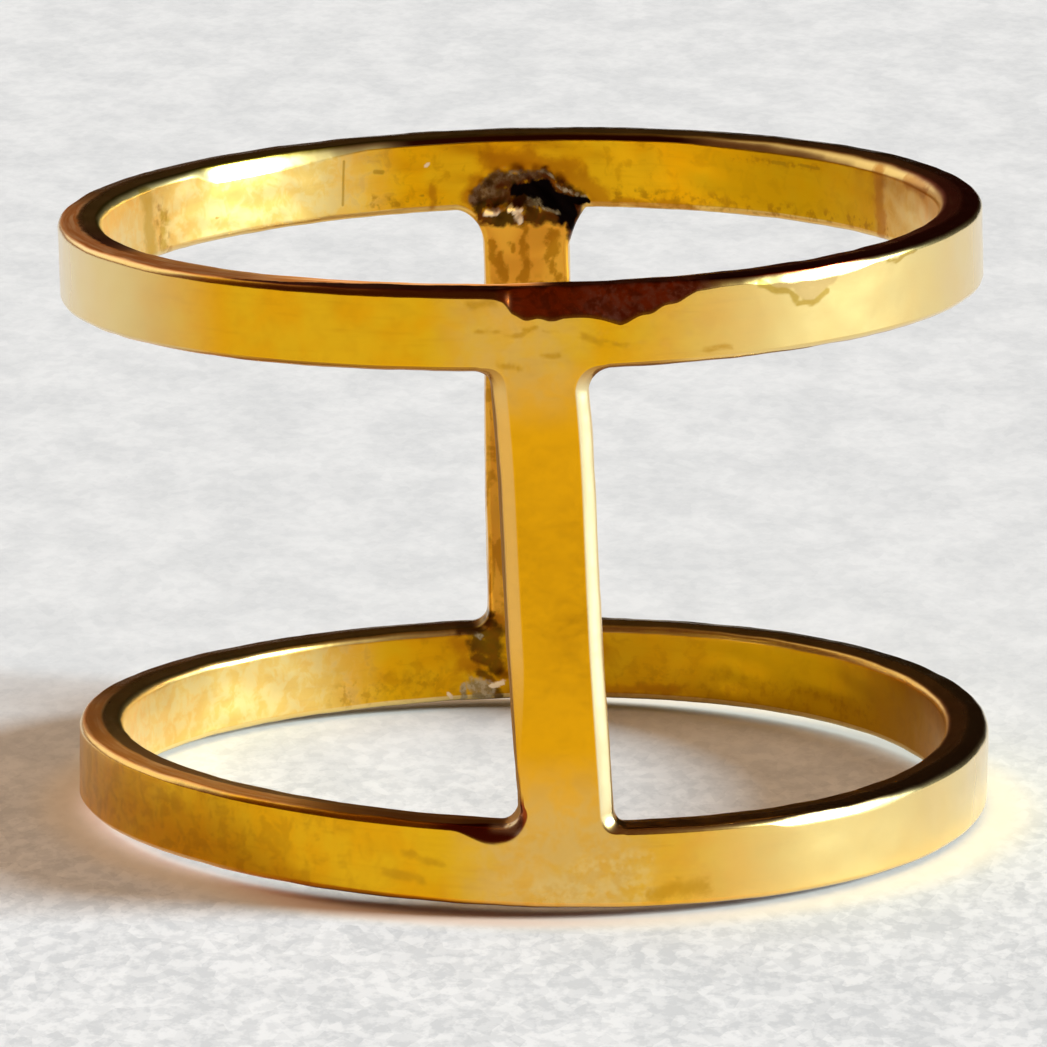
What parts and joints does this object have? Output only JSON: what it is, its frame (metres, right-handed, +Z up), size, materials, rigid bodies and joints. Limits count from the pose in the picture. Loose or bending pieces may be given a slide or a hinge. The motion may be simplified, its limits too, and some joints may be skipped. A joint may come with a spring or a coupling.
{
  "type": "double band ring",
  "caption": "Openwork finger ring: flat strip bands one above the other, held apart by soldered bars, with an open way for the finger.",
  "frame": {"origin": "middle of the lower band's resting rim, on the surface that the ring lies on", "axes": "+Z up along the finger, from the lower band to the upper one; the wider, front bar is at -Y; +X is to the right of it, seen from the front"},
  "size_m": [0.0196, 0.0192, 0.0129],
  "materials": {
    "gold_plate": "polished gold plate on brass, hand filed, with brown tarnish and burnt solder at the back joints"
  },
  "bodies": {
    "root": {"ring": "gold_plate"}
  },
  "joints": []
}
